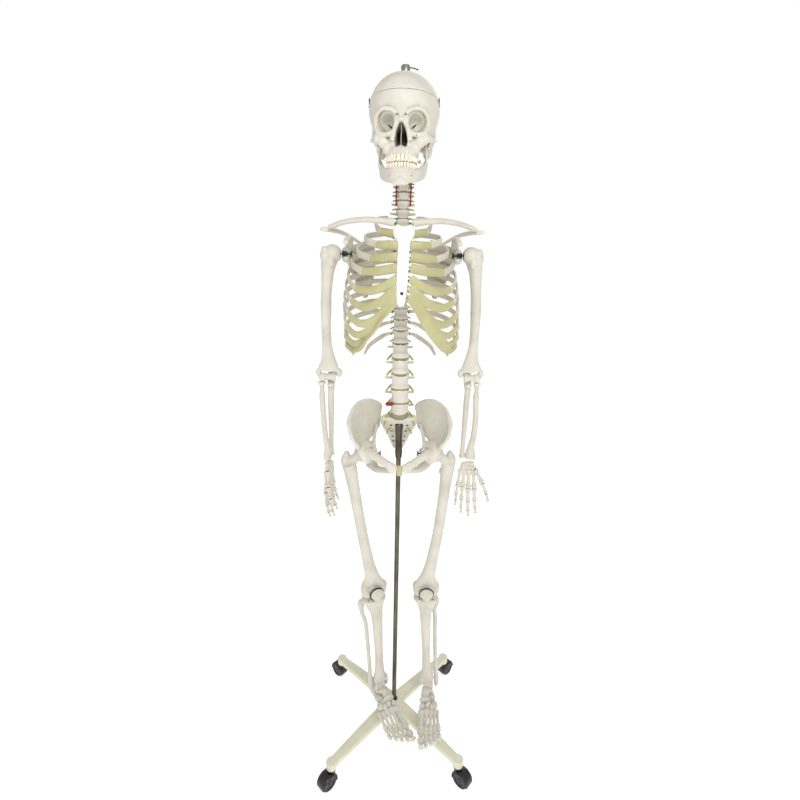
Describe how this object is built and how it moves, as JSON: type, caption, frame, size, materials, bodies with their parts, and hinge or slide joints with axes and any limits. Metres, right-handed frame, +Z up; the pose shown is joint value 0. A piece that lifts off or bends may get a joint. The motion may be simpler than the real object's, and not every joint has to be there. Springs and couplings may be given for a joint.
{
  "type": "human skeleton model",
  "caption": "Free-standing anatomical skeleton hung on a steel pole over a four-armed roller base, with turning head, opening jaw, lift-off skull cap and jointed limbs.",
  "frame": {"origin": "on the floor, in the middle of the whole object's footprint box; the pole stands 10 mm to the skeleton's right of it", "axes": "+Z up, the face looks along -Y, the skeleton's own left side is +X"},
  "size_m": [0.451, 0.43, 1.7827],
  "materials": {
    "bone_ivory": "satin moulded plastic, cream",
    "bone_light": "satin moulded plastic, light cream",
    "cartilage": "soft olive-yellow plastic",
    "disc_red": "glossy red",
    "steel_dark": "dark plated steel",
    "steel_bright": "plated steel",
    "base_plastic": "satin cream plastic",
    "caster_black": "black plastic",
    "wheel_black": "black tread"
  },
  "bodies": {
    "stand": {"base_star": "base_plastic", "stand_pole": "steel_dark"},
    "torso": {"pole_sleeve": "steel_dark", "atlas_vertebra": "bone_light", "axis_vertebra": "bone_light", "cervical_vertebrae": "bone_light", "thoracic_vertebrae": "bone_light", "lumbar_vertebrae": "bone_light", "herniated_disc": "disc_red", "sacrum": "bone_ivory", "spine_rod": "steel_dark", "rib_cage": "bone_ivory", "rib_11_left": "bone_ivory", "rib_12_left": "bone_ivory", "rib_11_right": "bone_ivory", "rib_12_right": "bone_ivory", "clavicle_left": "bone_ivory", "clavicle_right": "bone_ivory", "scapula_left": "bone_ivory", "scapula_right": "bone_ivory", "hip_bone_left": "bone_light", "hip_bone_right": "bone_light", "pubic_symphysis": "cartilage"},
    "head": {"cranium": "bone_light"},
    "jaw": {"mandible": "bone_light"},
    "skull_cap": {"calvarium": "bone_light", "hanger_bush": "steel_bright"},
    "hook_left": {"cap_hook_left": "steel_dark"},
    "hook_right": {"cap_hook_right": "steel_dark"},
    "shoulder_link_left": {"shoulder_screw_left": "steel_dark"},
    "upper_arm_left": {"humerus_left": "bone_ivory"},
    "forearm_left": {"ulna_left": "bone_ivory", "radius_left": "bone_ivory"},
    "hand_left_body": {"hand_left": "bone_ivory"},
    "hip_link_left": {"hip_screw_left": "steel_dark"},
    "thigh_left": {"femur_left": "bone_ivory"},
    "shin_left": {"tibia_left": "bone_ivory", "fibula_left": "bone_ivory", "patella_left": "bone_ivory"},
    "foot_left_body": {"foot_left": "bone_ivory"},
    "shoulder_link_right": {"shoulder_screw_right": "steel_dark"},
    "upper_arm_right": {"humerus_right": "bone_ivory"},
    "forearm_right": {"ulna_right": "bone_ivory", "radius_right": "bone_ivory"},
    "hand_right_body": {"hand_right": "bone_ivory"},
    "hip_link_right": {"hip_screw_right": "steel_dark"},
    "thigh_right": {"femur_right": "bone_ivory"},
    "shin_right": {"tibia_right": "bone_ivory", "fibula_right": "bone_ivory", "patella_right": "bone_ivory"},
    "foot_right_body": {"foot_right": "bone_ivory"},
    "caster_front_left": {"caster_fork_front_left": "caster_black"},
    "wheels_front_left": {"caster_wheels_front_left": "wheel_black"},
    "caster_front_right": {"caster_fork_front_right": "caster_black"},
    "wheels_front_right": {"caster_wheels_front_right": "wheel_black"},
    "caster_rear_left": {"caster_fork_rear_left": "caster_black"},
    "wheels_rear_left": {"caster_wheels_rear_left": "wheel_black"},
    "caster_rear_right": {"caster_fork_rear_right": "caster_black"},
    "wheels_rear_right": {"caster_wheels_rear_right": "wheel_black"}
  },
  "joints": [
    {"name": "torso_turn", "type": "hinge", "parent": "stand", "child": "torso", "pos_m": [-0.01045, 0, 0.94972], "axis": [0, 0, 1], "continuous": true},
    {"name": "head_turn", "type": "hinge", "parent": "torso", "child": "head", "pos_m": [-0.01045, 0.005, 1.60972], "axis": [0, 0, 1], "range_deg": [-60, 60]},
    {"name": "jaw_open", "type": "hinge", "parent": "head", "child": "jaw", "pos_m": [-0.01233, -0.0129, 1.63672], "axis": [0.9945, -0.1045, 0], "range_deg": [0, 20], "stiffness_Nm_per_rad": 0.6},
    {"name": "skull_cap_lift", "type": "slide", "parent": "head", "child": "skull_cap", "axis": [0, 0, 1], "range_m": [0, 0.09]},
    {"name": "cap_hook_left_swing", "type": "hinge", "parent": "head", "child": "hook_left", "pos_m": [0.06064, -0.0266, 1.70072], "axis": [0.9945, -0.1045, 0], "range_deg": [-10, 100]},
    {"name": "cap_hook_right_swing", "type": "hinge", "parent": "head", "child": "hook_right", "pos_m": [-0.08655, -0.01113, 1.70072], "axis": [0.9945, -0.1045, 0], "range_deg": [-10, 100]},
    {"name": "shoulder_left_swing", "type": "hinge", "parent": "torso", "child": "shoulder_link_left", "pos_m": [0.14755, -0.003, 1.40772], "axis": [-1, 0, 0], "range_deg": [-30, 90]},
    {"name": "shoulder_left_spread", "type": "hinge", "parent": "shoulder_link_left", "child": "upper_arm_left", "pos_m": [0.14755, -0.003, 1.40772], "axis": [0, -1, 0], "range_deg": [0, 20]},
    {"name": "elbow_left_bend", "type": "hinge", "parent": "upper_arm_left", "child": "forearm_left", "pos_m": [0.16555, -0.003, 1.11972], "axis": [-1, 0, 0], "range_deg": [0, 120]},
    {"name": "wrist_left_bend", "type": "hinge", "parent": "forearm_left", "child": "hand_left_body", "pos_m": [0.16755, -0.015, 0.90172], "axis": [-1, 0, 0], "range_deg": [-45, 60], "stiffness_Nm_per_rad": 0.05},
    {"name": "hip_left_swing", "type": "hinge", "parent": "torso", "child": "hip_link_left", "pos_m": [0.08155, -0.02, 0.92472], "axis": [-1, 0, 0], "range_deg": [-20, 90]},
    {"name": "hip_left_spread", "type": "hinge", "parent": "hip_link_left", "child": "thigh_left", "pos_m": [0.08155, -0.02, 0.92472], "axis": [0, -1, 0], "range_deg": [0, 6]},
    {"name": "knee_left_bend", "type": "hinge", "parent": "thigh_left", "child": "shin_left", "pos_m": [0.07255, -0.021, 0.51472], "axis": [0.9976, -0.0698, 0], "range_deg": [0, 110]},
    {"name": "ankle_left_bend", "type": "hinge", "parent": "shin_left", "child": "foot_left_body", "pos_m": [0.08955, -0.015, 0.17172], "axis": [-0.9976, 0.0698, 0], "range_deg": [-10, 15], "stiffness_Nm_per_rad": 0.3},
    {"name": "shoulder_right_swing", "type": "hinge", "parent": "torso", "child": "shoulder_link_right", "pos_m": [-0.16845, -0.003, 1.40772], "axis": [-1, 0, 0], "range_deg": [-30, 90]},
    {"name": "shoulder_right_spread", "type": "hinge", "parent": "shoulder_link_right", "child": "upper_arm_right", "pos_m": [-0.16845, -0.003, 1.40772], "axis": [0, 1, 0], "range_deg": [0, 20]},
    {"name": "elbow_right_bend", "type": "hinge", "parent": "upper_arm_right", "child": "forearm_right", "pos_m": [-0.18645, -0.003, 1.11972], "axis": [-1, 0, 0], "range_deg": [0, 120]},
    {"name": "wrist_right_bend", "type": "hinge", "parent": "forearm_right", "child": "hand_right_body", "pos_m": [-0.18845, -0.015, 0.90172], "axis": [-0.342, -0.9397, 0], "range_deg": [-45, 15], "stiffness_Nm_per_rad": 0.05},
    {"name": "hip_right_swing", "type": "hinge", "parent": "torso", "child": "hip_link_right", "pos_m": [-0.10245, -0.02, 0.92472], "axis": [-1, 0, 0], "range_deg": [-2, 90]},
    {"name": "hip_right_spread", "type": "hinge", "parent": "hip_link_right", "child": "thigh_right", "pos_m": [-0.10245, -0.02, 0.92472], "axis": [0, 1, 0], "range_deg": [0, 6]},
    {"name": "knee_right_bend", "type": "hinge", "parent": "thigh_right", "child": "shin_right", "pos_m": [-0.07345, -0.021, 0.51472], "axis": [0.9336, 0.3584, 0], "range_deg": [0, 110]},
    {"name": "ankle_right_bend", "type": "hinge", "parent": "shin_right", "child": "foot_right_body", "pos_m": [-0.05545, -0.015, 0.17172], "axis": [-0.9063, -0.4226, 0], "range_deg": [-10, 15], "stiffness_Nm_per_rad": 0.3},
    {"name": "caster_front_left_swivel", "type": "hinge", "parent": "stand", "child": "caster_front_left", "pos_m": [0.16415, -0.1746, 0.05522], "axis": [0, 0, 1], "continuous": true},
    {"name": "caster_front_left_roll", "type": "hinge", "parent": "caster_front_left", "child": "wheels_front_left", "pos_m": [0.17547, -0.18591, 0.02222], "axis": [0.7071, 0.7071, 0], "continuous": true},
    {"name": "caster_front_right_swivel", "type": "hinge", "parent": "stand", "child": "caster_front_right", "pos_m": [-0.18505, -0.1746, 0.05522], "axis": [0, 0, 1], "continuous": true},
    {"name": "caster_front_right_roll", "type": "hinge", "parent": "caster_front_right", "child": "wheels_front_right", "pos_m": [-0.19636, -0.18591, 0.02222], "axis": [0.7071, -0.7071, 0], "continuous": true},
    {"name": "caster_rear_left_swivel", "type": "hinge", "parent": "stand", "child": "caster_rear_left", "pos_m": [0.16415, 0.1746, 0.05522], "axis": [0, 0, 1], "continuous": true},
    {"name": "caster_rear_left_roll", "type": "hinge", "parent": "caster_rear_left", "child": "wheels_rear_left", "pos_m": [0.17547, 0.18591, 0.02222], "axis": [-0.7071, 0.7071, 0], "continuous": true},
    {"name": "caster_rear_right_swivel", "type": "hinge", "parent": "stand", "child": "caster_rear_right", "pos_m": [-0.18505, 0.1746, 0.05522], "axis": [0, 0, 1], "continuous": true},
    {"name": "caster_rear_right_roll", "type": "hinge", "parent": "caster_rear_right", "child": "wheels_rear_right", "pos_m": [-0.19636, 0.18591, 0.02222], "axis": [-0.7071, -0.7071, 0], "continuous": true}
  ]
}
